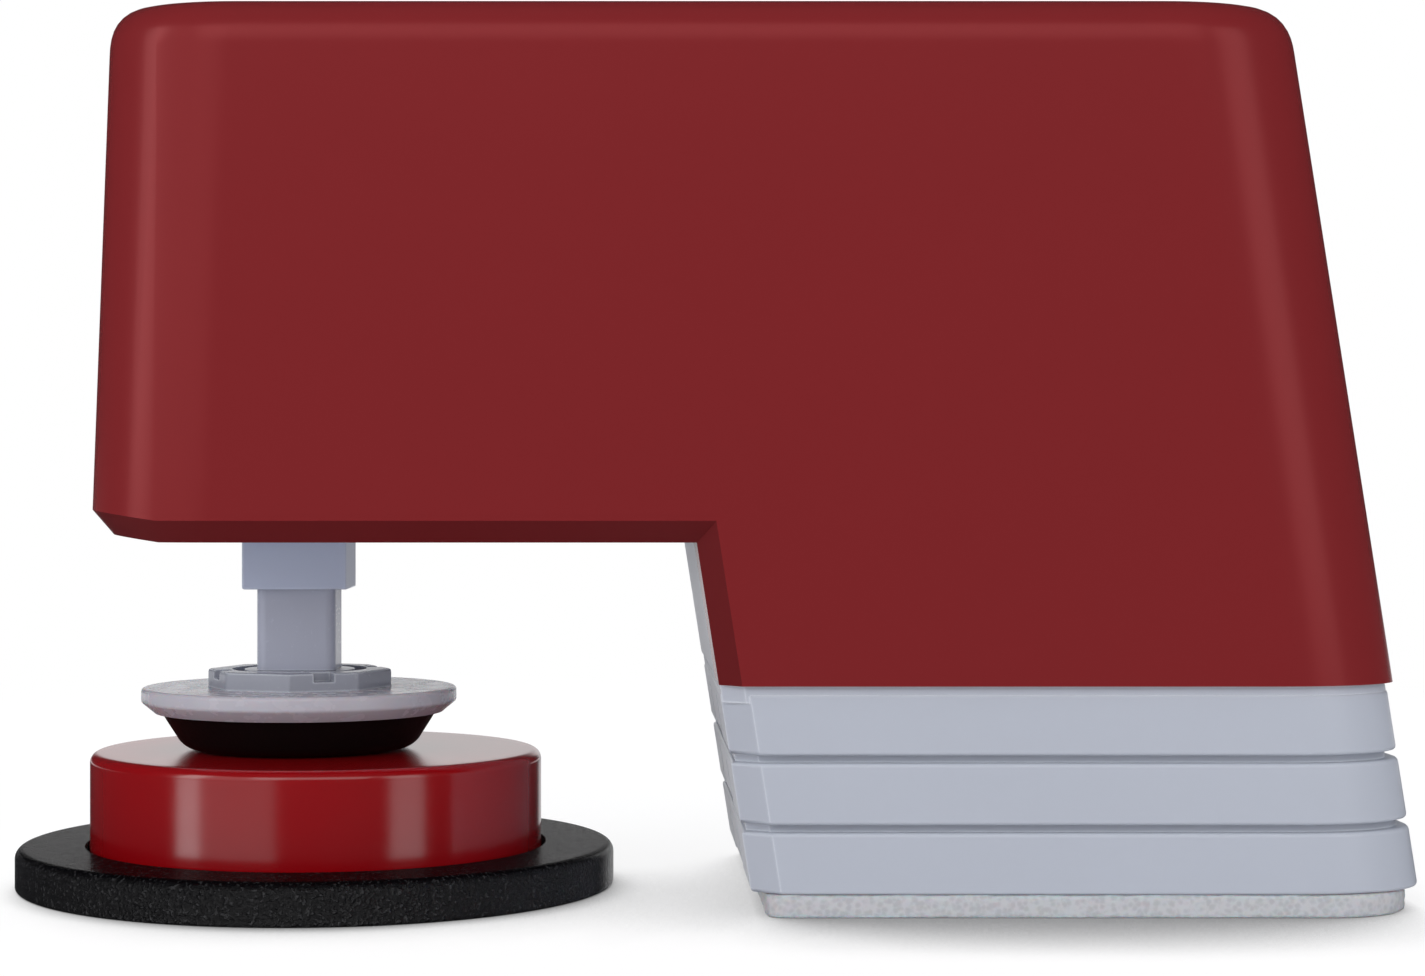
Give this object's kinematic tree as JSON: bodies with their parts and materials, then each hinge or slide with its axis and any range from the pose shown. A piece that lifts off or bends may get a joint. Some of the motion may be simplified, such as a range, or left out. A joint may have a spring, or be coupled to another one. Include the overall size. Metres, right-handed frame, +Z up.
{
  "type": "motorised button presser with push button",
  "caption": "L-shaped battery-powered button presser on stacked spacers and a foam pad; its plunger presses a round push button.",
  "frame": {"origin": "centre of the sticky face of the foam pad, on the surface that the object stands on", "axes": "+X from the push button towards the leg, +Y from the red front to the rear, +Z up"},
  "size_m": [0.0762, 0.0334, 0.0477],
  "materials": {
    "case_red": "satin moulded dark red plastic with softly rounded edges",
    "housing_grey": "smooth moulded blue-grey plastic",
    "disc_white": "slightly translucent off-white plastic",
    "bumper_rubber": "soft black rubber",
    "foam": "frosted clear adhesive foam",
    "base_black": "black plastic with a fine moulded grain",
    "cap_red": "glossy red plastic",
    "gear_white": "natural white acetal",
    "steel": "bright steel",
    "brass": "plain brass",
    "dark_plastic": "dark moulded plastic",
    "clear": "clear light pipe",
    "board": "green solder mask",
    "battery_wrap": "plain blue shrink sleeve",
    "carbon": "carbon-filled rubber"
  },
  "bodies": {
    "case": {"front_cover": "case_red", "rear_housing": "housing_grey", "door_pin": "steel", "cover_screws": "steel", "light_pipe": "clear", "guide_block": "housing_grey", "gear_frame": "gear_white", "frame_plate": "gear_white", "frame_screws": "steel", "output_axle": "steel", "middle_axle": "steel", "motor_can": "steel", "motor_terminals": "brass", "limit_switch": "dark_plastic", "circuit_board": "board", "radio_module": "steel", "pairing_switch": "steel", "battery": "battery_wrap", "battery_contacts": "steel", "spacer_top": "housing_grey", "spacer_middle": "housing_grey", "spacer_bottom": "housing_grey", "foam_pad": "foam", "button_base": "base_black", "return_spring": "steel", "button_board": "board"},
    "plunger": {"plunger_stem": "housing_grey", "collar_nut": "housing_grey", "pressing_disc": "disc_white", "rubber_bumper": "bumper_rubber"},
    "cap": {"button_cap": "cap_red", "contact_pill": "carbon", "cap_clip": "steel"},
    "output_wheel": {"output_gear": "gear_white"},
    "middle_wheel": {"middle_gear": "gear_white"},
    "rotor": {"motor_pinion": "brass", "motor_shaft": "steel"},
    "pairing_key": {"pairing_button": "dark_plastic"},
    "door": {"battery_door": "housing_grey"}
  },
  "joints": [
    {"name": "plunger_slide", "type": "slide", "parent": "case", "child": "plunger", "axis": [0, 0, -1], "range_m": [0, 0.0015]},
    {"name": "cap_press", "type": "slide", "parent": "case", "child": "cap", "axis": [0, 0, -1], "range_m": [0, 0.0015], "stiffness_N_per_m": 300, "springref_m": -0.003, "deforming": ["return_spring"]},
    {"name": "output_gear_spin", "type": "hinge", "parent": "case", "child": "output_wheel", "pos_m": [-0.038, -0.00215, 0.03355], "axis": [0, -1, 0], "range_deg": [0, 28.65]},
    {"name": "middle_gear_spin", "type": "hinge", "parent": "case", "child": "middle_wheel", "pos_m": [-0.027, -0.00215, 0.03355], "axis": [0, -1, 0], "range_deg": [-76.4, 0]},
    {"name": "motor_spin", "type": "hinge", "parent": "case", "child": "rotor", "pos_m": [-0.016, -0.00498, 0.03355], "axis": [0, -1, 0], "range_deg": [0, 203.72]},
    {"name": "pairing_press", "type": "slide", "parent": "case", "child": "pairing_key", "axis": [0, -1, 0], "range_m": [0, 0.0004], "stiffness_N_per_m": 600, "springref_m": -0.0006},
    {"name": "door_hinge", "type": "hinge", "parent": "case", "child": "door", "pos_m": [0.00528, 0.01315, 0.01649], "axis": [-0.988, 0, -0.1547], "range_deg": [0, 85]}
  ],
  "couplings": [
    {"joint": "cap_press", "follows": "plunger_slide", "ratio": 1},
    {"joint": "output_gear_spin", "follows": "plunger_slide", "rad_per_m": 333.33},
    {"joint": "middle_gear_spin", "follows": "plunger_slide", "rad_per_m": -888.89},
    {"joint": "motor_spin", "follows": "plunger_slide", "rad_per_m": 2370.4}
  ]
}
